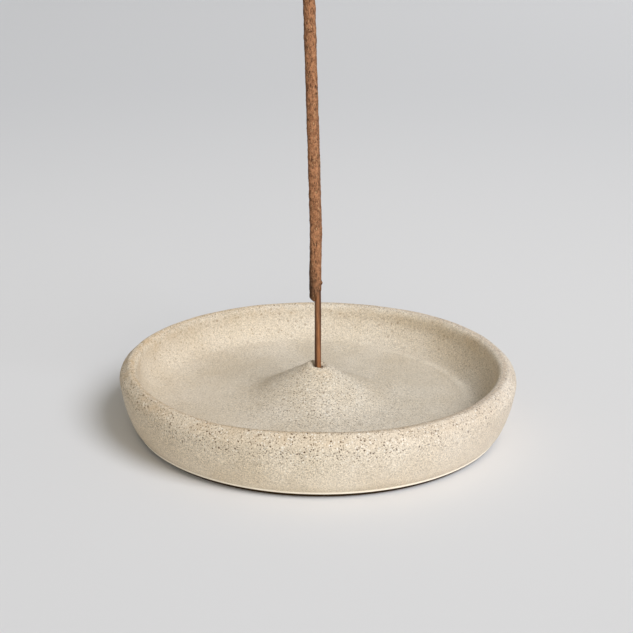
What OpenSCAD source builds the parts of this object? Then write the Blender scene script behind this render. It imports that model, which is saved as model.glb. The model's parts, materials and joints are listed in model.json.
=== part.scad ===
// Incense burner: a one-piece stoneware dish with a socketed mound, and a masala incense stick.
// Millimetres. The origin is the centre of the dish's base, +Z is up and -Y faces the front.

/* [Dish] */
// Outer diameter of the rim
dish_d = 115; // [110:1:120]
// Height of the rim's top above the table
dish_h = 19; // [17.5:0.5:21]
// Thickness of the rounded rim
rim_t = 5.4; // [4.4:0.1:6.2]
// Height of the flat floor inside the dish
floor_z = 8; // [6:0.5:9]
// Radius at which the floor turns up into the wall
floor_r = 41.5; // [39:0.5:42.5]
// Radius of the flat base
base_r = 48; // [46:0.5:48.5]
// Radius of the rounded corner between base and wall
corner_r = 7; // [5:0.5:7.5]
// Radius of the gentle outward bulge of the wall, seen in section
wall_bulge_r = 40; // [30:1:45]

/* [Mound] */
// Height of the mound's top above the table
mound_z = 17.2; // [16:0.1:18]
// Radius of the small flat on the mound's top
mound_flat_r = 2.5; // [2:0.1:3]
// Radius of the rounding between the flat and the flank
mound_edge_r = 1.5; // [1:0.1:3]
// Slope of the mound's flank, in degrees
mound_slope = 30; // [26:1:36]
// Radius of the hollow curve where the flank runs out into the floor
mound_foot_r = 14; // [6:1:20]

/* [Socket] */
// Diameter of the hole that holds the stick
socket_d = 2.6; // [2.5:0.1:3]
// Depth of the hole below the mound's top
socket_depth = 12; // [10:0.5:12.5]

/* [Stick] */
// Length of the whole stick
stick_l = 196; // [150:1:230]
// Diameter of the bamboo core
core_d = 1.9; // [1.5:0.1:1.9]
// Diameter over the rolled paste
paste_d = 3.55; // [3:0.05:4.5]
// Length of core left bare at the lower end
bare_l = 34; // [28:1:50]
// Thickness of paste that closes over the core at the tip
tip_cap = 2; // [1:0.5:4]
// Lean of the stick away from upright, towards -X, in degrees
lean = 1.9; // [0:0.1:2]
// Gap between the core's end and the bottom of the hole
core_gap = 0.05; // [0.05:0.05:0.5]

/* [Hidden] */
$fn = 96;

rim_r = rim_t / 2;
rim_c = [dish_d / 2 - rim_r, dish_h - rim_r];
corner_c = [base_r, corner_r];
bulge_c = meet(corner_c, wall_bulge_r - corner_r, rim_c, wall_bulge_r - rim_r);

// The inner wall is one arc that leaves the floor level and ends flush with the rim's round edge.
wall_run = rim_c.x - floor_r;
wall_rise = rim_c.y - floor_z;
inner_r = (wall_run ^ 2 + wall_rise ^ 2 - rim_r ^ 2) / (2 * (wall_rise + rim_r));
inner_c = [floor_r, floor_z + inner_r];

edge_c = [mound_flat_r, mound_z - mound_edge_r];
flank_top = edge_c + mound_edge_r * [sin(mound_slope), cos(mound_slope)];
flank_foot = [flank_top.x + (flank_top.y - floor_z) / tan(mound_slope), floor_z];
foot_run = mound_foot_r * tan(mound_slope / 2);
foot_c = flank_foot + [foot_run, mound_foot_r];

socket_z = mound_z - socket_depth;
core_r = core_d / 2;
core_l = stick_l - tip_cap;
// Length of leaning core below the level halfway down the socket, where its axis crosses the dish's.
core_below = (socket_depth / 2 - core_gap - core_r * sin(lean)) / cos(lean);

// The point at distance ra from a and rb from b, on the left of the way from a to b.
function meet(a, ra, b, rb) =
    let (
        d = norm(b - a),
        along = (b - a) / d,
        x = (d ^ 2 + ra ^ 2 - rb ^ 2) / (2 * d),
        y = sqrt(ra ^ 2 - x ^ 2)
    )
    a + x * along + y * [-along.y, along.x];

// A point beyond the arc of radius r, on the line from one centre through another.
function beyond(from, through, r) = through + 2 * r * (through - from) / norm(through - from);

module disc(centre, r) {
    translate(centre) circle(r);
}

// Half-section of the dish as if it were filled level with its rim.
module filled_section() {
    polygon([[0, 0], [base_r, 0], corner_c, rim_c, [rim_c.x, dish_h], [0, dish_h]]);
    disc(corner_c, corner_r);
    disc(rim_c, rim_r);
    intersection() {
        disc(bulge_c, wall_bulge_r);
        polygon([corner_c, beyond(bulge_c, corner_c, corner_r), beyond(bulge_c, rim_c, rim_r), rim_c]);
    }
}

// Half-section of the mound: flat top with a round edge, straight flank, and a hollow curve to the floor.
module mound_section() {
    flank_end = flank_foot + foot_run * [-cos(mound_slope), sin(mound_slope)];
    disc(edge_c, mound_edge_r);
    difference() {
        polygon([[0, 0], [foot_c.x, 0], [foot_c.x, floor_z], flank_end, flank_top, edge_c,
            [edge_c.x, mound_z], [0, mound_z]]);
        disc(foot_c, mound_foot_r);
    }
}

// Half-section of the space inside the dish, open at the top.
module hollow_section() {
    difference() {
        union() {
            polygon([[0, floor_z], [floor_r, floor_z], inner_c, rim_c, [rim_c.x, dish_h + 1], [0, dish_h + 1]]);
            disc(inner_c, inner_r);
        }
        disc(rim_c, rim_r);
        mound_section();
    }
}

module dish() {
    color("#dccfb6")
    difference() {
        rotate_extrude()
        intersection() {
            difference() {
                filled_section();
                hollow_section();
            }
            square([dish_d, dish_h]);
        }
        translate([0, 0, socket_z]) cylinder(d = socket_d, h = dish_h);
    }
}

// Stands a stick that is drawn upright, from its lower end, in the socket at its lean.
module in_socket() {
    translate([0, 0, socket_z + socket_depth / 2])
    rotate([0, -lean, 0])
    translate([0, 0, -core_below])
    children();
}

module bamboo_core() {
    color("#9b6948")
    in_socket()
    cylinder(d = core_d, h = core_l);
}

module incense_paste() {
    color("#a5785a")
    in_socket()
    difference() {
        translate([0, 0, bare_l]) cylinder(d = paste_d, h = stick_l - bare_l);
        cylinder(d = core_d, h = core_l);
    }
}

dish();
bamboo_core();
incense_paste();
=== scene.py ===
"""The looks of the incense burner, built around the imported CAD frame.

A speckled stoneware dish, and a masala incense stick of rolled paste on a bamboo core. The pieces
are in metres, in the CAD model's own frame: +Z up, -Y to the front, the origin under the dish.
Lengths that read better in millimetres are written as a number times MM.
"""

import json
import math
from types import SimpleNamespace

import bpy
import numpy as np
from mathutils import Euler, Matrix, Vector, noise


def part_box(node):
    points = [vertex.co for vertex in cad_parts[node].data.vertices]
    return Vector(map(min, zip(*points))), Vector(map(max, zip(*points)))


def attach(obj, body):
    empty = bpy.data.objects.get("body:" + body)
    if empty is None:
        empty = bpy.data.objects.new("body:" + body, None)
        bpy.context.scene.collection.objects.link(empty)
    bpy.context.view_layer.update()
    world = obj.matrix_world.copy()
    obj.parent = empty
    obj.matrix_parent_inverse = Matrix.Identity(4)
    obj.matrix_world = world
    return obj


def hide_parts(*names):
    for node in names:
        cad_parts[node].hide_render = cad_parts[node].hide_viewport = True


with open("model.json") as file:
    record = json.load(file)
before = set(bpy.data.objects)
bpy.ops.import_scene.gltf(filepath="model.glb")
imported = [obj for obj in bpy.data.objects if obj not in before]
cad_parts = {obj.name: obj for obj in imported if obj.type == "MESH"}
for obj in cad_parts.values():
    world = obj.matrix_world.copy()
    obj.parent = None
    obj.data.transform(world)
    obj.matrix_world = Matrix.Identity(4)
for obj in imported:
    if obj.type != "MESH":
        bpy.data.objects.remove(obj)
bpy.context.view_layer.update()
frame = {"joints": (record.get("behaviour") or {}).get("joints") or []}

MM = 0.001

# ---------------------------------------------------------------- sizes taken from the frame
DISH_LOW, DISH_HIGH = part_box("dish")
RIM_RADIUS = (DISH_HIGH[0] - DISH_LOW[0]) / 2
RIM_HEIGHT = DISH_HIGH[2]

STICK_AXIS = Vector(frame["joints"][0]["axis"]).normalized()
STICK_SIDE = Vector((STICK_AXIS.z, 0, -STICK_AXIS.x))
CORE_LOW, CORE_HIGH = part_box("bamboo_core")
CORE_RADIUS = (CORE_HIGH[1] - CORE_LOW[1]) / 2
STICK_FOOT = Vector((
    CORE_HIGH[0] - CORE_RADIUS * STICK_AXIS.z,
    0,
    CORE_LOW[2] + CORE_RADIUS * abs(STICK_AXIS.x),
))
PASTE_LOW, PASTE_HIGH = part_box("incense_paste")
PASTE_RADIUS = (PASTE_HIGH[1] - PASTE_LOW[1]) / 2
PASTE_TILT = PASTE_RADIUS * abs(STICK_AXIS.x)
PASTE_START = (PASTE_LOW[2] + PASTE_TILT - STICK_FOOT.z) / STICK_AXIS.z
PASTE_END = (PASTE_HIGH[2] - PASTE_TILT - STICK_FOOT.z) / STICK_AXIS.z

# ---------------------------------------------------------------- the dish's section
RIM_ROUND = 2.7 * MM
FLOOR_HEIGHT = 8.0 * MM
FLOOR_EDGE = 41.5 * MM
BASE_RADIUS = 48.0 * MM
CORNER_ROUND = 7.0 * MM
WALL_BULGE = 40.0 * MM
MOUND_HEIGHT = 17.2 * MM
MOUND_FLAT = 2.5 * MM
MOUND_EDGE = 1.5 * MM
MOUND_SLOPE = math.radians(30)
MOUND_FOOT = 14.0 * MM
SOCKET_RADIUS = 1.3 * MM
SOCKET_FLOOR = 5.2 * MM
MOUTH_WEAR = 0.35 * MM
# The wall ends in a small upright edge, above a low foot that is set back under it.
FOOT_EDGE_TOP = 1.85 * MM
FOOT_HEIGHT = 1.3 * MM
FOOT_SET_BACK = 1.5 * MM

DISH_SEGMENTS = 480


def polar(centre, radius, angle):
    """The point at that radius and angle from centre, in the section's plane of radius and height."""
    return np.array([centre[0] + radius * math.cos(angle), centre[1] + radius * math.sin(angle)])


def angle_to(start, end):
    """The direction from one point to another, from -pi to pi."""
    return math.atan2(end[1] - start[1], end[0] - start[0])


def arc(centre, radius, first, last, step):
    """Points along an arc, both ends included, about a step apart."""
    count = max(2, int(abs(last - first) * radius / step) + 1)
    return [polar(centre, radius, a) for a in np.linspace(first, last, count)]


def straight(start, end, step):
    """Points along a line, without its two ends, about a step apart."""
    start, end = np.array(start), np.array(end)
    count = max(1, int(np.linalg.norm(end - start) / step))
    return [start + (end - start) * t for t in np.linspace(0, 1, count + 1)[1:-1]]


def meeting_point(a, from_a, b, from_b):
    """The point at the two given distances from a and b, on the left of the way from a to b."""
    a, b = np.array(a), np.array(b)
    gap = np.linalg.norm(b - a)
    along = (b - a) / gap
    run = (gap**2 + from_a**2 - from_b**2) / (2 * gap)
    rise = math.sqrt(from_a**2 - run**2)
    return a + run * along + rise * np.array([-along[1], along[0]])


def dish_section():
    """Radius and height of each ring of the dish, from the middle of its base to the socket's floor."""
    corner = np.array([BASE_RADIUS, CORNER_ROUND])
    rim = np.array([RIM_RADIUS - RIM_ROUND, RIM_HEIGHT - RIM_ROUND])
    bulge = meeting_point(corner, WALL_BULGE - CORNER_ROUND, rim, WALL_BULGE - RIM_ROUND)
    run, rise = rim[0] - FLOOR_EDGE, rim[1] - FLOOR_HEIGHT
    sweep = (run**2 + rise**2 - RIM_ROUND**2) / (2 * (rise + RIM_ROUND))
    inner = np.array([FLOOR_EDGE, FLOOR_HEIGHT + sweep])
    edge = np.array([MOUND_FLAT, MOUND_HEIGHT - MOUND_EDGE])
    flank_top = polar(edge, MOUND_EDGE, math.pi / 2 - MOUND_SLOPE)
    flank_foot = flank_top[0] + (flank_top[1] - FLOOR_HEIGHT) / math.tan(MOUND_SLOPE)
    foot = np.array([flank_foot + MOUND_FOOT * math.tan(MOUND_SLOPE / 2), FLOOR_HEIGHT + MOUND_FOOT])
    mouth = np.array([SOCKET_RADIUS + MOUTH_WEAR, MOUND_HEIGHT - MOUTH_WEAR])
    wall_start, wall_end = angle_to(bulge, corner), angle_to(bulge, rim)
    down, up = -math.pi / 2, math.pi / 2
    foot_start = -math.asin((CORNER_ROUND - FOOT_EDGE_TOP) / CORNER_ROUND)
    edge_top = polar(corner, CORNER_ROUND, foot_start)
    edge_foot = np.array([edge_top[0], FOOT_HEIGHT])
    foot_radius = edge_top[0] - FOOT_SET_BACK
    foot_low, foot_high = np.array([foot_radius, 0]), np.array([foot_radius, FOOT_HEIGHT])
    rings = straight((0, 0), foot_low, 3 * MM)
    rings += [foot_low - [0.12 * MM, 0], foot_low + [0, 0.12 * MM]]
    rings += [foot_high - [0, 0.05 * MM], foot_high + [0.05 * MM, 0]]
    rings += [edge_foot - [0.12 * MM, 0], edge_foot + [0, 0.1 * MM]]
    rings += [edge_top + [0.02 * MM, -0.12 * MM]]
    rings += arc(corner, CORNER_ROUND, foot_start, wall_start, 0.55 * MM)
    rings += arc(bulge, WALL_BULGE, wall_start, wall_end, 0.5 * MM)[1:-1]
    rings += arc(rim, RIM_ROUND, wall_end, angle_to(rim, inner), 0.32 * MM)
    rings += arc(inner, sweep, angle_to(inner, rim), down, 0.55 * MM)[1:]
    rings += straight((FLOOR_EDGE, FLOOR_HEIGHT), (foot[0], FLOOR_HEIGHT), 0.7 * MM)
    rings += arc(foot, MOUND_FOOT, down, down - MOUND_SLOPE, 0.6 * MM)
    rings += straight(rings[-1], flank_top, 0.5 * MM)
    rings += arc(edge, MOUND_EDGE, up - MOUND_SLOPE, up, 0.15 * MM)
    rings += straight(rings[-1], (mouth[0], MOUND_HEIGHT), 0.2 * MM)
    rings += arc(mouth, MOUTH_WEAR, up, math.pi, 0.07 * MM)
    rings += straight(rings[-1], (SOCKET_RADIUS, SOCKET_FLOOR), 1 * MM)
    rings += [np.array([SOCKET_RADIUS, SOCKET_FLOOR])]
    return np.array(rings)


# ---------------------------------------------------------------- mesh helpers
def mesh_object(name, points, faces):
    """A smooth-shaded mesh object, built from its points and faces."""
    mesh = bpy.data.meshes.new(name)
    mesh.from_pydata([tuple(p) for p in points], [], faces)
    mesh.validate()
    mesh.polygons.foreach_set("use_smooth", np.ones(len(mesh.polygons), dtype=bool))
    mesh.update()
    piece = bpy.data.objects.new(name, mesh)
    bpy.context.collection.objects.link(piece)
    return piece


def closed_lathe(name, rings, first_pole, last_pole):
    """A closed skin over rings of points, an array of (rings, segments, 3), with a pole at each end."""
    count, segments = rings.shape[:2]
    points = [first_pole] + list(rings.reshape(-1, 3)) + [last_pole]
    last = len(points) - 1
    faces = []
    for s in range(segments):
        t = (s + 1) % segments
        faces.append((0, 1 + t, 1 + s))
        for r in range(count - 1):
            a, b = 1 + r * segments, 1 + (r + 1) * segments
            faces.append((a + s, a + t, b + t, b + s))
        tail = 1 + (count - 1) * segments
        faces.append((tail + s, tail + t, last))
    return mesh_object(name, points, faces)


def ramp(value, low, high):
    """A smooth step from 0 at low to 1 at high."""
    t = np.clip((value - low) / (high - low), 0, 1)
    return t * t * (3 - 2 * t)


def lumps(points, size, seed):
    """Smooth noise from about -1 to 1 at each point, with lumps about that size."""
    shift = Vector((seed * 7.3, seed * 3.1, seed * 5.7))
    return np.array([noise.noise(Vector(p) / size + shift) for p in points])


# ---------------------------------------------------------------- the dish
# Slow waves round the hand-finished rim: how many, how far, and where they start.
RIM_WAVES = ((2, 0.18 * MM, 0.6), (3, 0.14 * MM, 2.1), (5, 0.07 * MM, 4.0))
# Small rises and dips of the rim's crest: where round the rim, how high, and how far along it.
CREST_DENTS = ((math.radians(270), 0.32 * MM, 0.24), (math.radians(238), -0.42 * MM, 0.24))
# Faint rings left by turning: how high and how far apart.
TURNING_RINGS = 0.03 * MM
TURNING_PITCH = 2.6 * MM
# Soft lumps all over the clay: how big and how deep.
CLAY_LUMPS = ((9 * MM, 0.09 * MM), (3 * MM, 0.035 * MM), (1.3 * MM, 0.018 * MM))
# The raised lip round the socket, higher on its back left, and the worn dip inside it.
LIP_RISE = 0.42 * MM
LIP_RADIUS = 3.0 * MM
LIP_WIDTH = 1.5 * MM
LIP_HIGHEST = math.radians(140)
MOUTH_DIP = 0.12 * MM
# The mound's foot runs far out over the floor: how high, how far out and how wide.
SKIRT_RISE = 0.55 * MM
SKIRT_RADIUS = 18.0 * MM
SKIRT_WIDTH = 7.0 * MM
# The mound is fuller on its back left side: where, how high and how wide.
SHOULDER_PLACE = (-8.0 * MM, 2.5 * MM)
SHOULDER_RISE = 1.0 * MM
SHOULDER_WIDTH = 9.0 * MM
# The corner between the floor and the wall is tighter on the right and at the back.
CORNER_DIP = 0.6 * MM
CORNER_RADIUS = 46.3 * MM
CORNER_WIDTH = 2.7 * MM
CORNER_TOWARDS = math.radians(30)
# It is wider at the back left. A faint ridge marks it on the right, where the tool stopped, and a pale
# painted highlight runs along it.
SOFT_RISE = 0.5 * MM
SOFT_RADIUS = 43.5 * MM
SOFT_WIDTH = 4.0 * MM
SOFT_TOWARDS = math.radians(135)
RIDGE_RISE = 0.10 * MM
RIDGE_RADIUS = 43.6 * MM
RIDGE_WIDTH = 1.4 * MM
# On the right the rim's inner edge is less rounded.
EDGE_FILL = 0.42 * MM
EDGE_RADIUS = RIM_RADIUS - 5.0 * MM
EDGE_WIDTH = 1.5 * MM
EDGE_TOWARDS = math.radians(5)
# All round, the outer side of the rim falls away early, so that its crest is close to the inside.
OUTER_CUT = 0.45 * MM
OUTER_RADIUS = RIM_RADIUS - 0.9 * MM
OUTER_WIDTH = 1.4 * MM


def bell(value, middle, width):
    """A smooth bump that is 1 at the middle and fades out over about the width on each side."""
    return np.exp(-(((value - middle) / width) ** 2))


def facing(turn, towards):
    """A smooth weight by direction round the dish: 1 towards that direction and 0 away from it."""
    return 0.5 + 0.5 * np.cos(turn - towards)


def inside_relief(radius, height, turn):
    """How far the inside skin rises above the plain section: turning rings, lip, skirt and corner."""
    turning = TURNING_RINGS * np.sin(2 * math.pi * radius / TURNING_PITCH)
    lip = LIP_RISE * bell(radius, LIP_RADIUS, LIP_WIDTH) * (0.55 + 0.45 * np.cos(turn - LIP_HIGHEST))
    skirt = SKIRT_RISE * bell(radius, SKIRT_RADIUS, SKIRT_WIDTH)
    skirt = skirt * ramp(-height, -RIM_HEIGHT, -FLOOR_HEIGHT)
    tighter = CORNER_DIP * bell(radius, CORNER_RADIUS, CORNER_WIDTH) * facing(turn, CORNER_TOWARDS) ** 1.5
    tighter = tighter * ramp(-height, -RIM_HEIGHT, -FLOOR_HEIGHT - 3 * MM)
    softer = SOFT_RISE * bell(radius, SOFT_RADIUS, SOFT_WIDTH) * facing(turn, SOFT_TOWARDS) ** 1.5
    ridge = RIDGE_RISE * bell(radius, RIDGE_RADIUS, RIDGE_WIDTH) * facing(turn, CORNER_TOWARDS) ** 3
    return turning + lip + skirt + softer + ridge - tighter


def shape_rim(rings, radius, height, turn):
    """Fills the rim's inner edge on the right, and cuts its outer side back all round."""
    out, up = np.stack([np.cos(turn), np.sin(turn), 0 * turn], axis=-1), np.array([0, 0, 1])
    fill = EDGE_FILL * bell(radius, EDGE_RADIUS, EDGE_WIDTH) * facing(turn, EDGE_TOWARDS)
    fill = fill * ramp(height, RIM_HEIGHT - 5 * MM, RIM_HEIGHT - 2.2 * MM)
    cut = OUTER_CUT * bell(radius, OUTER_RADIUS, OUTER_WIDTH)
    cut = cut * ramp(height, RIM_HEIGHT - 4 * MM, RIM_HEIGHT - 2 * MM) + 0 * turn
    return rings + fill[..., None] * (up - out) - cut[..., None] * (up + out)


def build_dish():
    """The stoneware dish: the CAD section turned about Z, with the small unevenness of handmade clay."""
    section = dish_section()
    radius, height = section[:, :1], section[:, 1:]
    turn = np.linspace(0, 2 * math.pi, DISH_SEGMENTS, endpoint=False)[None, :]
    wave = sum(size * np.cos(lobes * turn + start) for lobes, size, start in RIM_WAVES)
    near_rim = ramp(radius, FLOOR_EDGE, RIM_RADIUS) * ramp(height, 0, RIM_HEIGHT)
    crest = sum(rise * bell(turn, place, width) for place, rise, width in CREST_DENTS)
    around = radius - np.abs(wave).max() * near_rim + wave * near_rim
    inside = ramp(height, SOCKET_FLOOR, FLOOR_HEIGHT) * ramp(radius, SOCKET_RADIUS, SOCKET_RADIUS + MM)
    dip = bell(radius, 0, SOCKET_RADIUS + 0.4 * MM) * ramp(height, MOUND_HEIGHT - 3 * MM, MOUND_HEIGHT)
    lift = (0.6 * wave[:, ::-1] + crest) * near_rim
    lift = lift + inside * inside_relief(radius, height, turn) - MOUTH_DIP * dip
    x, y = around * np.cos(turn), around * np.sin(turn)
    aside = ((x - SHOULDER_PLACE[0]) ** 2 + (y - SHOULDER_PLACE[1]) ** 2) / SHOULDER_WIDTH**2
    clear_of_socket = ramp(radius, SOCKET_RADIUS, SOCKET_RADIUS + 1.2 * MM)
    z = height + lift + inside * clear_of_socket * SHOULDER_RISE * np.exp(-aside)
    rings = shape_rim(np.stack([x, y, z], axis=-1), radius, height, turn)
    rings += clay_relief(rings, inside * ramp(height, 0, 1.5 * MM) * np.ones_like(turn))
    return closed_lathe("stoneware_dish", rings[:, ::-1], (0, 0, 0), (0, 0, SOCKET_FLOOR))


def clay_relief(rings, amount):
    """Small lumps pushed along the skin's own normal, as much as the amount at each point."""
    across = np.roll(rings, -1, axis=1) - np.roll(rings, 1, axis=1)
    along = np.gradient(rings, axis=0)
    normal = np.cross(across, along)
    normal /= np.linalg.norm(normal, axis=-1, keepdims=True) + 1e-12
    flat = rings.reshape(-1, 3)
    push = sum(depth * lumps(flat, size, i + 1) for i, (size, depth) in enumerate(CLAY_LUMPS))
    return normal * (push.reshape(amount.shape) * amount)[..., None]


# ---------------------------------------------------------------- the stick
CORE_SEGMENTS = 28
CORE_STEP = 1.0 * MM
# Its chamfered foot, its four shallow flats and its fibre ridges.
CORE_CHAMFER = 0.25 * MM
CORE_FLATS = 0.045 * MM
CORE_RIDGES = 0.015 * MM
# The bamboo's mesh ends this far up, inside the paste.
CORE_SHOWN = 160 * MM
PASTE_SEGMENTS = 64
PASTE_STEP = 0.22 * MM
BORE_SLACK = 0.02 * MM
# How rough the paste is: its swellings, folds and grit, and how far its skin stands back for them.
SWELL_DEPTH = 0.10 * MM
FOLD_DEPTH = 0.12 * MM
GRIT_DEPTH = 0.075 * MM
PASTE_SHRINK = 0.09 * MM
# How thin the paste is at its torn edge, and how round its tip is.
PASTE_THINNEST = 0.16 * MM
TIP_ROUND = 0.9 * MM
# The paste's torn lower edge, and the tongue that hangs from it on the left.
PASTE_LIFT = 1.4 * MM
TONGUE_DROP = 3.6 * MM
TONGUE_TOWARDS = math.radians(197)
# The bamboo bows this far to the right above the socket.
STICK_BOW = 0.5 * MM
# The paste's middle is off the core's at its torn end, and a little off it all the way up.
PASTE_OFF_CENTRE = 0.57 * MM
PASTE_TO_LEFT = 0.08 * MM
PASTE_WANDER = 0.07 * MM
# A crumb of paste that stands off the stick: how far up the stick, which way, how proud and how big.
CRUMB_ALONG = 3.3 * MM
CRUMB_TOWARDS = math.radians(-10)
CRUMB_PROUD = 0.42 * MM
CRUMB_SIZE = 0.5 * MM


def stick_point(along, side, back):
    """A point given by its distance up the stick's axis, to its right, and to its back."""
    return STICK_FOOT + STICK_AXIS * along + STICK_SIDE * side + Vector((0, 1, 0)) * back


def stick_rings(along, radius, turn):
    """Points round the stick's axis. All three arrays have the shape (rings, segments)."""
    foot, axis, side = np.array(STICK_FOOT), np.array(STICK_AXIS), np.array(STICK_SIDE)
    out = foot + along[..., None] * axis
    out += (radius * np.cos(turn))[..., None] * side
    out[..., 1] += radius * np.sin(turn)
    return out


def stick_bow(along):
    """How far the bamboo bows to the right of its straight axis. It is straight inside the socket."""
    return STICK_BOW * ramp(along, 8 * MM, 36 * MM) * (1 - ramp(along, 40 * MM, 180 * MM))


def move_aside(rings, side, back):
    """Shifts rings to the right and to the back of the stick's axis."""
    rings += side[..., None] * np.array(STICK_SIDE)
    rings[..., 1] += back
    return rings


def build_core():
    """The split-bamboo core: nearly round, with shallow flats and fibre ridges, and a chamfered foot."""
    turn = np.linspace(0, 2 * math.pi, CORE_SEGMENTS, endpoint=False)[None, :]
    up = np.arange(CORE_STEP, CORE_SHOWN, CORE_STEP)
    along = np.concatenate([[0, 0, CORE_CHAMFER], up, [CORE_SHOWN]])[:, None]
    flats = CORE_FLATS * np.cos(4 * turn + 0.5 * np.sin(along / (30 * MM)))
    ridges = CORE_RIDGES * np.cos(11 * turn + along / (25 * MM))
    taper = np.ones_like(along)
    taper[:2] = [[0.45], [0.86]]
    radius = (CORE_RADIUS - 0.05 * MM + flats + ridges) * taper
    rings = stick_rings(along + 0 * turn, radius, turn + 0 * along)
    rings = move_aside(rings, stick_bow(along) + 0 * turn, 0 * radius)
    top = stick_point(CORE_SHOWN, stick_bow(CORE_SHOWN), 0)
    return closed_lathe("bamboo_stick", rings, stick_point(0, 0, 0), top)


def paste_end(turn):
    """How far up the stick the paste's torn lower edge is, by direction round the stick."""
    tongue = np.exp(-((np.angle(np.exp(1j * (turn - TONGUE_TOWARDS))) / 1.05) ** 2))
    tear = 0.25 * np.sin(5 * turn + 1.0) + 0.16 * np.sin(9 * turn + 2.2) + 0.1 * np.sin(14 * turn)
    return PASTE_START + PASTE_LIFT - TONGUE_DROP * tongue + tear * MM


def paste_aside(along):
    """How far the paste's middle is to the right and to the back of the stick's axis."""
    off_centre = PASTE_OFF_CENTRE * (1 - ramp(along, PASTE_START + 2 * MM, PASTE_START + 20 * MM))
    return stick_bow(along) - off_centre - PASTE_TO_LEFT, PASTE_WANDER * np.sin(along / (17 * MM) + 1)


def build_paste():
    """The rolled paste: a rough tube with a torn lower edge, a crumb that stands off it, a closed tip."""
    turn = np.linspace(0, 2 * math.pi, PASTE_SEGMENTS, endpoint=False)[None, :]
    bore = CORE_RADIUS + BORE_SLACK
    bore_top = CORE_SHOWN + 0.3 * MM
    edge = paste_end(turn)
    inner_along = edge + (bore_top - edge) * np.linspace(1, 0, 80)[:, None]
    inner = stick_rings(inner_along, bore + 0 * inner_along, turn + 0 * inner_along)
    inner = move_aside(inner, stick_bow(inner_along), 0 * inner_along)
    count = int((PASTE_END - PASTE_START) / PASTE_STEP)
    along = edge + (PASTE_END - edge) * np.linspace(0, 1, count)[:, None]
    turns = turn + 0 * along
    from_edge, from_tip = along - edge, PASTE_END - along
    aside, behind = paste_aside(along)
    # The direct way out from the core's middle to the paste's own round outline.
    shift_side, shift_back = aside - stick_bow(along), behind
    across = shift_side * np.cos(turns) + shift_back * np.sin(turns)
    square = PASTE_RADIUS**2 - shift_side**2 - shift_back**2 + across**2
    full = across + np.sqrt(square)
    thin = bore + PASTE_THINNEST
    body = ramp(from_edge, -0.5 * MM, 1.4 * MM)
    radius = thin + (np.maximum(full, thin) - thin) * body
    curve = np.sqrt(np.clip(1 - (1 - np.clip(from_tip / TIP_ROUND, 0, 1)) ** 2, 0, 1))
    radius = radius * (1 - 0.75 * (1 - curve))
    crumb_off = np.angle(np.exp(1j * (turns - CRUMB_TOWARDS))) * PASTE_RADIUS
    crumb_far = (along - PASTE_START - CRUMB_ALONG) ** 2 + crumb_off**2
    crumb = CRUMB_PROUD * np.exp(-crumb_far / CRUMB_SIZE**2)
    rough = paste_relief(along, turns) * ramp(from_tip, 0, MM) * ramp(radius, bore, bore + 0.5 * MM)
    outer = stick_rings(along, radius + rough + crumb, turns)
    outer = move_aside(outer, stick_bow(along), 0 * along)
    rings = np.concatenate([inner, outer])
    bore_end = stick_point(bore_top, stick_bow(bore_top), 0)
    tip = stick_point(PASTE_END, stick_bow(PASTE_END), 0)
    return closed_lathe("paste_roll", rings, bore_end, tip)


def paste_relief(along, turn):
    """Rough relief of the paste: slow swellings, small folds and fine grit."""
    around = PASTE_RADIUS
    spots = np.stack([around * np.cos(turn), around * np.sin(turn), along], axis=-1).reshape(-1, 3)
    swell = SWELL_DEPTH * lumps(spots * [0.5, 0.5, 1], 5 * MM, 11)
    folds = FOLD_DEPTH * lumps(spots * [1, 1, 0.6], 0.9 * MM, 12)
    grit = GRIT_DEPTH * lumps(spots, 0.38 * MM, 13)
    return (swell + folds + grit - PASTE_SHRINK).reshape(along.shape)


# ---------------------------------------------------------------- materials
def add(tree, kind, settings=None, **inputs):
    """Adds a shader node with its settings. An input is a value, or a socket to link from.

    The input's name has _ for a space, or is i and the input's number.
    """
    made = tree.nodes.new("ShaderNode" + kind)
    for key, value in (settings or {}).items():
        setattr(made, key, value)
    for key, value in inputs.items():
        numbered = key[0] == "i" and key[1:].isdigit()
        socket = made.inputs[int(key[1:]) if numbered else key.replace("_", " ")]
        if isinstance(value, bpy.types.NodeSocket):
            tree.links.new(value, socket)
        else:
            socket.default_value = value
    return made


def math_node(tree, operation, a, b=0.0, c=0.0):
    """The result of a Math node with that operation."""
    return add(tree, "Math", {"operation": operation}, i0=a, i1=b, i2=c).outputs[0]


def times(tree, *values):
    """The product of all the values."""
    product = values[0]
    for value in values[1:]:
        product = math_node(tree, "MULTIPLY", product, value)
    return product


def vector_node(tree, operation, a, b, output=0):
    """The result of a Vector Math node with that operation."""
    return add(tree, "VectorMath", {"operation": operation}, i0=a, i1=b).outputs[output]


def mix_colour(tree, amount, a, b, blend="MIX"):
    """The colour a, with that amount of b in it."""
    made = add(tree, "Mix", {"data_type": "RGBA", "blend_type": blend}, i0=amount, i6=a, i7=b)
    return made.outputs[2]


def tone(tree, colour, amount):
    """The colour made darker or paler by a factor round 1."""
    grey = add(tree, "CombineColor", None, Red=amount, Green=amount, Blue=amount).outputs[0]
    return mix_colour(tree, 1.0, colour, grey, "MULTIPLY")


def mix_value(tree, amount, a, b):
    """The value a, with that amount of b in it."""
    return add(tree, "Mix", None, i0=amount, i2=a, i3=b).outputs[0]


def rescale(tree, value, low, high, new_low=0.0, new_high=1.0, smooth=False):
    """The value moved from the range low..high to new_low..new_high, and kept inside it."""
    kind = {"interpolation_type": "SMOOTHSTEP"} if smooth else {}
    made = add(tree, "MapRange", kind, i0=value, i1=low, i2=high, i3=new_low, i4=new_high)
    return made.outputs[0]


def noise_at(tree, place, size, detail=2.0, rough=0.5):
    """Noise with features about that size, in metres."""
    made = add(tree, "TexNoise", None, Vector=place, Scale=1 / size, Detail=detail, Roughness=rough)
    return made.outputs["Fac"]


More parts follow.
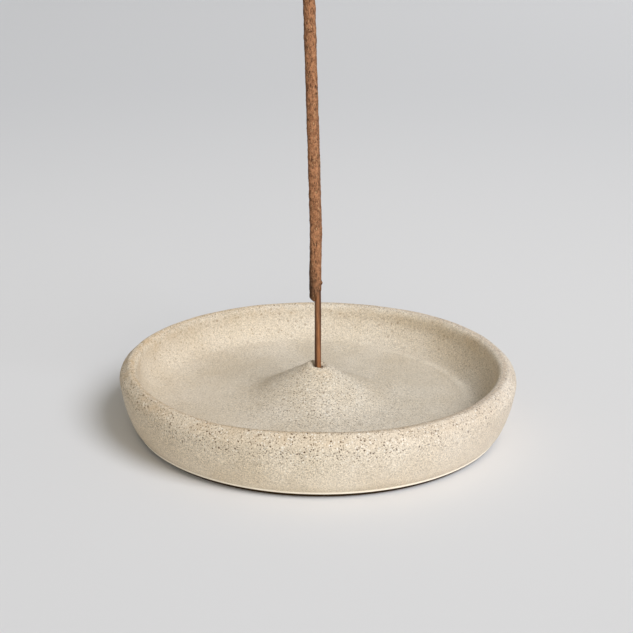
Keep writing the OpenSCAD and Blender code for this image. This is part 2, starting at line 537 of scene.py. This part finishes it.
def grains(tree, place, cell, smallest, largest, share):
    """Round grains, one at most in each cell of about that size: their mask, and a random number each."""
    cells = add(tree, "TexVoronoi", {"feature": "F1"}, Vector=place, Scale=1 / cell, Randomness=1.0)
    parts = add(tree, "SeparateColor", None, Color=cells.outputs["Color"]).outputs
    size = rescale(tree, parts[0], 0, 1, smallest / cell, largest / cell)
    gone = math_node(tree, "GREATER_THAN", parts[1], share)
    size = math_node(tree, "SUBTRACT", size, gone)
    inside = math_node(tree, "SUBTRACT", size, cells.outputs["Distance"])
    return rescale(tree, inside, -0.02, 0.07), parts[2]


def add_bump(tree, shader, relief, strength, depth):
    """Gives the shader the relief as bump, of that strength and depth in metres."""
    bump = add(tree, "Bump", None, Strength=strength, Distance=depth, Height=relief)
    tree.links.new(bump.outputs[0], shader.inputs["Normal"])


def new_material(name):
    """A material with a Principled shader: the tree, the shader, and places in metres on the piece."""
    material = bpy.data.materials.new(name)
    material.use_nodes = True
    tree = material.node_tree
    shader = tree.nodes["Principled BSDF"]
    place = add(tree, "TexCoord").outputs["Object"]
    return material, tree, shader, place


CLAY_WARM = (0.66, 0.562, 0.42, 1)
CLAY_PALE = (0.72, 0.63, 0.495, 1)
CLAY_COOL_LIT = (0.71, 0.615, 0.54, 1)
OCHRE = (0.56, 0.37, 0.18, 1)
PALE_GRAIN = (0.90, 0.85, 0.74, 1)
GREY_GRAIN = (0.21, 0.15, 0.098, 1)
IRON_GRAIN = (0.10, 0.062, 0.036, 1)
SMUDGE_BROWN = (0.36, 0.27, 0.18, 1)
# The pale colour of painted highlights, and the near black of the painted shadow on the foot.
PALE_HIGHLIGHT = (0.95, 0.87, 0.72, 1)
FOOT_PAINTED_SHADOW = (0.045, 0.021, 0.005, 1)
CREST_RADIUS = RIM_RADIUS - RIM_ROUND
RIDGE_WAY = (math.cos(CORNER_TOWARDS), math.sin(CORNER_TOWARDS), 0)
# The floor's clay is most speckled in front of the mound, round this place and out to these distances.
PEPPER_PLACE = (4.0 * MM, -11.0 * MM, 10.0 * MM)
PEPPER_NEAR = 9.0 * MM
PEPPER_FAR = 34.0 * MM
# The grains: the size of their cells, their smallest and largest radius, and the share of cells with one.
SMUDGES = (1.4 * MM, 0.20 * MM, 0.50 * MM, 0.9)
SAND_GRAINS = (0.75 * MM, 0.12 * MM, 0.28 * MM, 0.7)
FINE_GRAINS = (0.50 * MM, 0.08 * MM, 0.21 * MM, 0.95)
IRON_GRAINS = (0.85 * MM, 0.11 * MM, 0.29 * MM, 0.8)
GRAIN_SHIFT = 0.28 * MM
# Painted shade: how much darker or paler the clay is inside, against the outer wall.
INSIDE_PAINTED_SHADE = 0.93
# Painted light and shade in places: how much paler or darker the clay is made, against the clay round
# them. Paler on the shaded inner right wall, darker high on the back wall, paler on the front of the
# floor, darker on the front top of the rim, and paler on the low wall towards the foot.
INNER_RIGHT_PAINTED_LIGHT = 1.08
HIGH_BACK_PAINTED_SHADE = 0.90
FLOOR_FRONT_PAINTED_LIGHT = 1.10
FRONT_TOP_PAINTED_SHADE = 0.94
LOW_WALL_PAINTED_LIGHT = 1.05
# How much of another colour is mixed in, in places. The ochre on the left is painted warm shade, the cool
# clay on the outer right is painted cool light, and the pale line on the ridge is a painted highlight.
LEFT_SHADE_OCHRE = 0.15
RIGHT_LIGHT_COOL = 0.28
INNER_RIGHT_OCHRE = 0.06
FRONT_TOP_OCHRE = 0.12
CREST_OCHRE = 0.30
RIDGE_HIGHLIGHT = 0.24


def ragged_places(tree, place):
    """The places shifted a little by fine noise, so that grains drawn at them have ragged outlines."""
    shift = add(tree, "TexNoise", None, Vector=place, Scale=1 / (0.5 * MM), Detail=1.0).outputs["Color"]
    shift = vector_node(tree, "SUBTRACT", shift, (0.5, 0.5, 0.5))
    shift = add(tree, "VectorMath", {"operation": "SCALE"}, i0=shift, Scale=GRAIN_SHIFT).outputs[0]
    return vector_node(tree, "ADD", place, shift)


def how_speckled(tree, place, y, height, outside):
    """How strongly the clay is speckled: most near the rim, and in front of the mound."""
    low_wall = rescale(tree, height, 2 * MM, 8 * MM, 0.26, 0.44)
    high_wall = rescale(tree, height, 8.5 * MM, 15.5 * MM, 0.0, 0.74, smooth=True)
    wall = math_node(tree, "ADD", low_wall, high_wall)
    wall = times(tree, wall, rescale(tree, y, -12 * MM, -50 * MM, 0.90, 1.0))
    off = vector_node(tree, "DISTANCE", place, PEPPER_PLACE, "Value")
    inner = rescale(tree, off, PEPPER_FAR, PEPPER_NEAR, 0.44, 0.86)
    return mix_value(tree, outside, inner, wall)


def dish_zones(tree, place):
    """Where a point of the dish is: its coordinates, and how far it belongs to each zone."""
    x, y, height = add(tree, "SeparateXYZ", None, Vector=place).outputs
    flat = add(tree, "CombineXYZ", None, X=x, Y=y).outputs[0]
    radius = add(tree, "VectorMath", {"operation": "LENGTH"}, i0=flat).outputs["Value"]
    beyond_crest = rescale(tree, radius, CREST_RADIUS - 3 * MM, CREST_RADIUS - 1.2 * MM, smooth=True)
    under_floor = rescale(tree, height, FLOOR_HEIGHT - 0.5 * MM, FLOOR_HEIGHT - MM)
    outside = math_node(tree, "MAXIMUM", beyond_crest, under_floor)
    return SimpleNamespace(
        place=place, ragged=ragged_places(tree, place),
        x=x, y=y, height=height, radius=radius,
        outside=outside, within=math_node(tree, "SUBTRACT", 1.0, outside),
        near_top=rescale(tree, height, RIM_HEIGHT - 5 * MM, RIM_HEIGHT - 1 * MM, smooth=True),
        speckled=how_speckled(tree, place, y, height, outside),
    )


def bare_clay(tree, zones):
    """The clay before its grains: patches, wiping marks and sand. Also how deep the sand is."""
    patches = rescale(tree, noise_at(tree, zones.place, 14 * MM, 3), 0.35, 0.65)
    colour = mix_colour(tree, patches, CLAY_WARM, CLAY_PALE)
    wiped = add(tree, "Mapping", None, Vector=zones.place, Scale=(1, 1, 0.12)).outputs[0]
    wiped = rescale(tree, noise_at(tree, wiped, 1.6 * MM, 2), 0.3, 0.7, 0.98, 1.02)
    colour = tone(tree, colour, wiped)
    sand = math_node(tree, "SUBTRACT", noise_at(tree, zones.place, 0.4 * MM, 2, 0.7), 0.5)
    sand_inside = math_node(tree, "MULTIPLY_ADD", zones.speckled, 0.8, 1.0)
    sand_outside = math_node(tree, "MULTIPLY_ADD", zones.speckled, -0.4, 2.2)
    sand_outside = times(tree, sand_outside, rescale(tree, zones.height, 2 * MM, 9 * MM, 0.5, 1.0))
    sand_depth = mix_value(tree, zones.outside, sand_inside, sand_outside)
    return tone(tree, colour, math_node(tree, "MULTIPLY_ADD", sand, sand_depth, 1.0)), sand_depth


def add_blush(tree, zones, colour):
    """The ochre blush near the top of the wall, stronger on the left, and a line along the crest."""
    blush = rescale(tree, noise_at(tree, zones.place, 5 * MM, 3, 0.6), 0.46, 0.70)
    to_left = rescale(tree, zones.x, 15 * MM, -45 * MM, 0.20, 0.42)
    colour = mix_colour(tree, times(tree, zones.near_top, blush, to_left), colour, OCHRE)
    off_crest = math_node(tree, "SUBTRACT", zones.radius, CREST_RADIUS - 1.1 * MM)
    off_crest = math_node(tree, "ABSOLUTE", off_crest)
    line = rescale(tree, off_crest, 0.9 * MM, 0.3 * MM, 0, CREST_OCHRE)
    return mix_colour(tree, times(tree, zones.near_top, line), colour, OCHRE)


def add_grains(tree, zones, colour):
    """Brown smudges, pale sand, fine grey grains and iron specks. Also the pits of the last two."""
    smudge, smudge_tone = grains(tree, zones.ragged, *SMUDGES)
    on_wall = rescale(tree, zones.height, FLOOR_HEIGHT + 0.5 * MM, FLOOR_HEIGHT + 3 * MM, 0.35, 1.0)
    smudge = times(
        tree, smudge, rescale(tree, smudge_tone, 0, 1, 0.20, 0.65),
        rescale(tree, zones.outside, 0, 1, 1.0, 0.3), on_wall,
    )
    colour = mix_colour(tree, smudge, colour, SMUDGE_BROWN)
    pale, _ = grains(tree, zones.ragged, *SAND_GRAINS)
    colour = mix_colour(tree, times(tree, pale, 0.7, zones.speckled), colour, PALE_GRAIN)
    fine, fine_tone = grains(tree, zones.ragged, *FINE_GRAINS)
    fine_depth = times(tree, rescale(tree, fine_tone, 0, 1, 0.35, 1.1), zones.speckled)
    colour = mix_colour(tree, times(tree, fine, fine_depth), colour, GREY_GRAIN)
    iron, iron_tone = grains(tree, zones.ragged, *IRON_GRAINS)
    iron_depth = times(tree, rescale(tree, iron_tone, 0, 1, 0.3, 1.15), zones.speckled, zones.speckled)
    iron_depth = rescale(tree, iron_depth, 0.0, 1.0)
    colour = mix_colour(tree, times(tree, iron, iron_depth), colour, IRON_GRAIN)
    pits = math_node(tree, "ADD", times(tree, fine, 0.4), iron)
    return colour, times(tree, pits, 0.6, zones.speckled)


def fade(tree, zone, full):
    """A tone for a zone: 1 out of it and the full tone in it."""
    return rescale(tree, zone, 0, 1, 1.0, full)


def add_clay_tones(tree, zones, colour):
    """Painted light and shade on the clay: darker inside, warm shade on the left, cool light on the outer
    right, paler on the inner right wall and the front of the floor, darker high on the back wall and on
    the front top of the rim.
    """
    # Painted shade: all of the inside is darker.
    colour = tone(tree, colour, rescale(tree, zones.outside, 0, 1, INSIDE_PAINTED_SHADE, 1.0))
    # Painted shade and light: warm ochre shade on the left, cool lit clay on the outer right.
    left_painted_shade = rescale(tree, zones.x, -5 * MM, -50 * MM, 0.0, LEFT_SHADE_OCHRE)
    colour = mix_colour(tree, left_painted_shade, colour, OCHRE)
    right_painted_light = times(tree, rescale(tree, zones.x, 0.0, 45 * MM, 0.0, RIGHT_LIGHT_COOL), zones.outside)
    colour = mix_colour(tree, right_painted_light, colour, CLAY_COOL_LIT)

    on_wall = rescale(tree, zones.height, FLOOR_HEIGHT + 0.5 * MM, FLOOR_HEIGHT + 3 * MM)
    # Painted light on the inner right wall, which lies in shade: a little ochre, and paler.
    inner_right_painted_light = times(tree, rescale(tree, zones.x, 15 * MM, 45 * MM), zones.within, on_wall)
    colour = mix_colour(tree, times(tree, inner_right_painted_light, INNER_RIGHT_OCHRE), colour, OCHRE)
    colour = tone(tree, colour, fade(tree, inner_right_painted_light, INNER_RIGHT_PAINTED_LIGHT))

    # Painted shade high on the back wall, towards the left.
    high = rescale(tree, zones.height, FLOOR_HEIGHT + 3 * MM, RIM_HEIGHT - 2 * MM)
    to_left = rescale(tree, zones.x, 30 * MM, -20 * MM)
    high_back_painted_shade = times(tree, high, rescale(tree, zones.y, 0, 30 * MM), zones.within, to_left)
    colour = tone(tree, colour, fade(tree, high_back_painted_shade, HIGH_BACK_PAINTED_SHADE))
    # Painted light on the front of the floor, just behind the front rim.
    front = times(tree, rescale(tree, zones.y, -12 * MM, -34 * MM, smooth=True), zones.within)
    colour = tone(tree, colour, fade(tree, front, FLOOR_FRONT_PAINTED_LIGHT))

    # Painted shade on the front top of the rim, with a little ochre.
    front_top_ochre_and_shade = times(tree, zones.near_top, rescale(tree, zones.y, -20 * MM, -45 * MM))
    colour = mix_colour(tree, times(tree, front_top_ochre_and_shade, FRONT_TOP_OCHRE), colour, OCHRE)
    return tone(tree, colour, fade(tree, front_top_ochre_and_shade, FRONT_TOP_PAINTED_SHADE))


def add_ridge(tree, zones, colour):
    """A broken pale line along the ridge where the floor meets the wall, on the right: a painted
    highlight.
    """
    towards = vector_node(tree, "DOT_PRODUCT", zones.place, RIDGE_WAY, "Value")
    off_ridge = math_node(tree, "ABSOLUTE", math_node(tree, "SUBTRACT", zones.radius, RIDGE_RADIUS))
    broken = rescale(tree, noise_at(tree, zones.place, 4 * MM, 3), 0.3, 0.6, 0.2, 1.0)
    # Painted highlight along the ridge.
    ridge = times(
        tree, rescale(tree, off_ridge, 1.6 * MM, 0.2 * MM, 0.0, RIDGE_HIGHLIGHT), zones.within,
        rescale(tree, towards, 33 * MM, 40 * MM, smooth=True), broken,
    )
    return mix_colour(tree, ridge, colour, PALE_HIGHLIGHT)


def add_foot(tree, zones, colour):
    """The low wall made paler towards the foot and a pale line along its lower edge, both painted light
    as from the floor, and painted shadow on the side of the foot under it.
    """
    # Painted light: the low wall is paler towards the foot.
    colour = tone(tree, colour, rescale(tree, zones.height, 5 * MM, FOOT_EDGE_TOP, 1.0, LOW_WALL_PAINTED_LIGHT))
    # Painted highlight along the wall's lower edge.
    edge = rescale(tree, zones.height, FOOT_EDGE_TOP + 0.15 * MM, FOOT_EDGE_TOP - 0.1 * MM)
    colour = mix_colour(tree, times(tree, edge, 0.9), colour, PALE_HIGHLIGHT)
    # Painted shadow: the side of the foot under the wall is near black.
    foot = rescale(tree, zones.height, FOOT_HEIGHT + 0.08 * MM, FOOT_HEIGHT - 0.02 * MM)
    foot = times(tree, foot, rescale(tree, zones.radius, BASE_RADIUS - 1 * MM, BASE_RADIUS))
    return mix_colour(tree, foot, colour, FOOT_PAINTED_SHADOW)


def stoneware():
    """Matte unglazed sand-coloured stoneware with iron specks, pale sand grains and an ochre blush."""
    material, tree, shader, place = new_material("stoneware")
    zones = dish_zones(tree, place)
    colour, sand_depth = bare_clay(tree, zones)
    colour = add_blush(tree, zones, colour)
    colour, pits = add_grains(tree, zones, colour)
    colour = add_clay_tones(tree, zones, colour)
    colour = add_ridge(tree, zones, colour)
    colour = add_foot(tree, zones, colour)
    tree.links.new(colour, shader.inputs["Base Color"])
    roughness = rescale(tree, noise_at(tree, place, 2 * MM, 2), 0.3, 0.7, 0.68, 0.84)
    tree.links.new(roughness, shader.inputs["Roughness"])
    shader.inputs["Specular IOR Level"].default_value = 0.3
    relief = times(tree, noise_at(tree, place, 0.5 * MM, 3, 0.65), sand_depth)
    add_bump(tree, shader, math_node(tree, "SUBTRACT", relief, pits), 0.7, 0.15 * MM)
    return material


def across_stick(tree, place):
    """How far a point is to the right of the stick's straight axis, in metres."""
    from_foot = vector_node(tree, "SUBTRACT", place, STICK_FOOT)
    return vector_node(tree, "DOT_PRODUCT", from_foot, STICK_SIDE, "Value")


BAMBOO_DARK = (0.15, 0.050, 0.014, 1)
BAMBOO_PALE = (0.45, 0.192, 0.074, 1)
BAMBOO_BAND = (0.34, 0.14, 0.044, 1)
# The near-black colour of the painted shade along the bamboo's sides.
BAMBOO_EDGE_SHADE = (0.066, 0.021, 0.005, 1)
# The bamboo is darker just under the paste, down to this tone.
BAMBOO_TOP_TONE = 0.80


def bamboo():
    """Split bamboo: reddish brown, with painted shade along its left and right sides, and fine fibres
    that run along the stick.
    """
    material, tree, shader, place = new_material("bamboo")
    stretched = add(tree, "Mapping", None, Vector=place, Scale=(1, 1, 0.05)).outputs[0]
    fibres = rescale(tree, noise_at(tree, stretched, 0.22 * MM, 3, 0.6), 0.3, 0.7)
    colour = mix_colour(tree, fibres, BAMBOO_DARK, BAMBOO_PALE)
    bands = rescale(tree, noise_at(tree, place, 6 * MM, 2), 0.35, 0.65)
    colour = mix_colour(tree, times(tree, bands, 0.35), colour, BAMBOO_BAND)
    side = across_stick(tree, place)
    # Painted shade: dark along the stick's left side and, less, along its right side.
    skin = rescale(tree, side, 0.05 * MM, -0.40 * MM, 0, 0.95)
    skin = math_node(tree, "ADD", skin, rescale(tree, side, 0.6 * MM, 1.05 * MM, 0, 0.85))
    colour = mix_colour(tree, skin, colour, BAMBOO_EDGE_SHADE)
    up = add(tree, "SeparateXYZ", None, Vector=place).outputs["Z"]
    upper = rescale(tree, up, RIM_HEIGHT, PASTE_LOW[2] + 2 * MM, 1.0, BAMBOO_TOP_TONE)
    tree.links.new(tone(tree, colour, upper), shader.inputs["Base Color"])
    tree.links.new(rescale(tree, fibres, 0, 1, 0.6, 0.42), shader.inputs["Roughness"])
    add_bump(tree, shader, fibres, 0.5, 0.05 * MM)
    return material


PASTE_DARK = (0.175, 0.070, 0.029, 1)
PASTE_PALE = (0.54, 0.252, 0.118, 1)
PASTE_STRAND = (0.62, 0.34, 0.17, 1)
PASTE_CREASE = (0.055, 0.020, 0.010, 1)
PASTE_PIT = (0.05, 0.020, 0.010, 1)
PASTE_FLECK = (0.66, 0.47, 0.24, 1)
# The grains, as for the clay: the pits and the tan flecks.
PASTE_PITS = (0.55 * MM, 0.08 * MM, 0.24 * MM, 0.6)
PASTE_FLECKS = (0.6 * MM, 0.06 * MM, 0.18 * MM, 0.5)
# Painted shade at the paste's edges, and at its torn end, which is also darker in itself, down to these
# tones.
PASTE_LEFT_SHADE = 0.45
PASTE_RIGHT_SHADE = 0.66
TORN_TONE = 0.44


def paste_colour(tree, place, lean):
    """Brown wood powder with rolled-in strands, dark pits and tan flecks.

    Also the powder's own pattern, and the relief.
    """
    base = rescale(tree, noise_at(tree, place, 1.1 * MM, 5, 0.85), 0.36, 0.60)
    colour = mix_colour(tree, base, PASTE_DARK, PASTE_PALE)
    strands = rescale(tree, noise_at(tree, lean, 0.34 * MM, 3, 0.6), 0.54, 0.68)
    colour = mix_colour(tree, times(tree, strands, 0.75), colour, PASTE_STRAND)
    creases = rescale(tree, noise_at(tree, lean, 0.42 * MM, 3, 0.65), 0.46, 0.34)
    colour = mix_colour(tree, times(tree, creases, 0.85), colour, PASTE_CREASE)
    dark, dark_tone = grains(tree, lean, *PASTE_PITS)
    dark = times(tree, dark, rescale(tree, dark_tone, 0, 1, 0.2, 0.8))
    colour = mix_colour(tree, dark, colour, PASTE_PIT)
    fleck, fleck_tone = grains(tree, lean, *PASTE_FLECKS)
    fleck = times(tree, fleck, rescale(tree, fleck_tone, 0, 1, 0.2, 0.75))
    colour = mix_colour(tree, fleck, colour, PASTE_FLECK)
    pits = math_node(tree, "ADD", times(tree, dark, 0.5), times(tree, creases, 0.4))
    relief = math_node(tree, "SUBTRACT", noise_at(tree, place, 0.28 * MM, 4, 0.7), pits)
    return colour, base, relief


def incense():
    """Dried incense paste: rough brown wood powder, with painted shade at its edges and at its torn end,
    which is also darker in itself.
    """
    material, tree, shader, place = new_material("incense")
    lean = add(tree, "Mapping", None, Vector=place, Rotation=(0.5, 0.55, 0), Scale=(1, 1, 0.4)).outputs[0]
    colour, base, relief = paste_colour(tree, place, lean)
    side = across_stick(tree, place)
    # Painted shade at the paste's left and right edges.
    colour = tone(tree, colour, rescale(tree, side, -0.85 * MM, -1.45 * MM, 1.0, PASTE_LEFT_SHADE))
    colour = tone(tree, colour, rescale(tree, side, 1.2 * MM, 1.85 * MM, 1.0, PASTE_RIGHT_SHADE))
    up = add(tree, "SeparateXYZ", None, Vector=place).outputs["Z"]
    # The torn end is darker: partly painted shade, stronger on the left, and partly the paste's own
    # colour.
    torn = rescale(tree, up, PASTE_LOW[2] + 13 * MM, PASTE_LOW[2] + 1 * MM, smooth=True)
    torn = times(tree, torn, rescale(tree, side, 1.2 * MM, -1.0 * MM, 0.45, 1.0))
    tree.links.new(tone(tree, colour, fade(tree, torn, TORN_TONE)), shader.inputs["Base Color"])
    tree.links.new(rescale(tree, base, 0, 1, 0.95, 0.8), shader.inputs["Roughness"])
    shader.inputs["Specular IOR Level"].default_value = 0.25
    shader.inputs["Diffuse Roughness"].default_value = 0.5
    add_bump(tree, shader, relief, 1.0, 0.25 * MM)
    return material


PAPER_NEAR_LIT = (0.75, 0.735, 0.71, 1)
PAPER_FAR = (0.652, 0.645, 0.632, 1)
# Painted light falloff: the paper's tone on its left and on its right, how far from the middle it is
# reached, and the tone.
PAPER_LEFT = (-0.26, 0.90)
PAPER_RIGHT = (0.30, 1.05)


def floor_paper():
    """The pale grey paper under the dish, with painted light falloff: a little deeper in tone away from
    it and to its left.
    """
    material, tree, shader, place = new_material("floor_paper")
    length = add(tree, "VectorMath", {"operation": "LENGTH"}, i0=place).outputs["Value"]
    # Painted light: the paper is paler near the dish, as in a pool of light.
    away = rescale(tree, length, 0.08, 0.6, smooth=True)
    colour = mix_colour(tree, away, PAPER_NEAR_LIT, PAPER_FAR)
    # Painted shade towards the left, as the light falls from the right.
    across = add(tree, "SeparateXYZ", i0=place).outputs["X"]
    (left, left_tone), (right, right_tone) = PAPER_LEFT, PAPER_RIGHT
    colour = tone(tree, colour, rescale(tree, across, left, right, left_tone, right_tone))
    tree.links.new(colour, shader.inputs["Base Color"])
    shader.inputs["Roughness"].default_value = 1.0
    shader.inputs["Specular IOR Level"].default_value = 0.0
    return material


# ---------------------------------------------------------------- studio
FLOOR_RADIUS = 8.0
# The room is as bright as the paper at the horizon and dimmer above it.
# The depth is the sine of the angle over which it dims.
HORIZON_LIGHT = (0.571, 0.571, 0.583, 1)
ROOM_LIGHT = (0.335, 0.33, 0.315, 1)
HORIZON_DEPTH = 0.12
# The camera, in rim radii: its distance in front of the dish, its height and its sideways place.
CAMERA_AWAY = 7.090 * RIM_RADIUS
CAMERA_HEIGHT = 2.970 * RIM_RADIUS
CAMERA_SIDE = -0.0125 * RIM_RADIUS
# Its pitch and roll in degrees, and its lens in millimetres on a 36 mm sensor.
CAMERA_PITCH = 18.75
CAMERA_ROLL = 0.56
CAMERA_LENS = 85.3
CAMERA_SENSOR = 36
# The two soft lights: degrees round to the right and up, softness in degrees, strength and colour.
KEY_LIGHT = (45, 45, 31, 2.47, (0.965, 1.008, 1.115))
FILL_LIGHT = (10, 15, 31, 0.85, (1.04, 1.0, 0.91))


def build_floor():
    """A wide flat disc that the dish stands on."""
    turn = np.linspace(0, 2 * math.pi, 64, endpoint=False)
    points = [(FLOOR_RADIUS * math.cos(t), FLOOR_RADIUS * math.sin(t), 0) for t in turn]
    floor = mesh_object("floor", points, [tuple(range(len(points)))])
    floor.data.materials.append(floor_paper())


def soft_light(name, turn, rise, softness, strength, colour):
    """Even, soft-edged light from turn degrees to the right of the front, and from rise degrees up."""
    light = bpy.data.lights.new(name, "SUN")
    light.angle = math.radians(softness)
    light.energy = strength
    light.color = colour
    lamp = bpy.data.objects.new(name, light)
    turn, rise = math.radians(turn), math.radians(rise)
    place = Vector((math.sin(turn) * math.cos(rise), -math.cos(turn) * math.cos(rise), math.sin(rise)))
    lamp.location = place
    lamp.rotation_mode = "QUATERNION"
    lamp.rotation_quaternion = (-place).to_track_quat("-Z", "Y")
    bpy.context.collection.objects.link(lamp)


def light_studio():
    """A soft key from the front right, a low soft fill from the front, and a pale even room."""
    world = bpy.data.worlds.new("studio")
    world.use_nodes = True
    tree = world.node_tree
    background = tree.nodes["Background"]
    direction = add(tree, "TexCoord").outputs["Generated"]
    rise = add(tree, "SeparateXYZ", i0=direction).outputs["Z"]
    above = rescale(tree, rise, 0.0, HORIZON_DEPTH, smooth=True)
    tree.links.new(mix_colour(tree, above, HORIZON_LIGHT, ROOM_LIGHT), background.inputs["Color"])
    background.inputs["Strength"].default_value = 1.0
    bpy.context.scene.world = world
    soft_light("key", *KEY_LIGHT)
    soft_light("fill", *FILL_LIGHT)
    bpy.context.scene.view_settings.view_transform = "Standard"


def place_camera():
    """The camera in front of the dish, at the height that shows its floor."""
    lens = bpy.data.cameras.new("camera")
    lens.sensor_width = CAMERA_SENSOR
    lens.lens = CAMERA_LENS
    camera = bpy.data.objects.new("camera", lens)
    camera.location = (CAMERA_SIDE, -CAMERA_AWAY, CAMERA_HEIGHT)
    tilt = Euler((math.radians(90 - CAMERA_PITCH), 0, 0)).to_matrix()
    roll = Euler((0, 0, math.radians(CAMERA_ROLL))).to_matrix()
    camera.rotation_euler = (tilt @ roll).to_euler()
    bpy.context.collection.objects.link(camera)
    bpy.context.scene.camera = camera


# ---------------------------------------------------------------- the scene
def dress(piece, material, body, node):
    """Gives a piece its material, hangs it on the body it rides on, and hides the CAD node it stands for.
    """
    piece.data.materials.append(material)
    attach(piece, body)
    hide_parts(node)


place_camera()
light_studio()
build_floor()
dress(build_dish(), stoneware(), "dish", "dish")
dress(build_core(), bamboo(), "stick", "bamboo_core")
dress(build_paste(), incense(), "stick", "incense_paste")
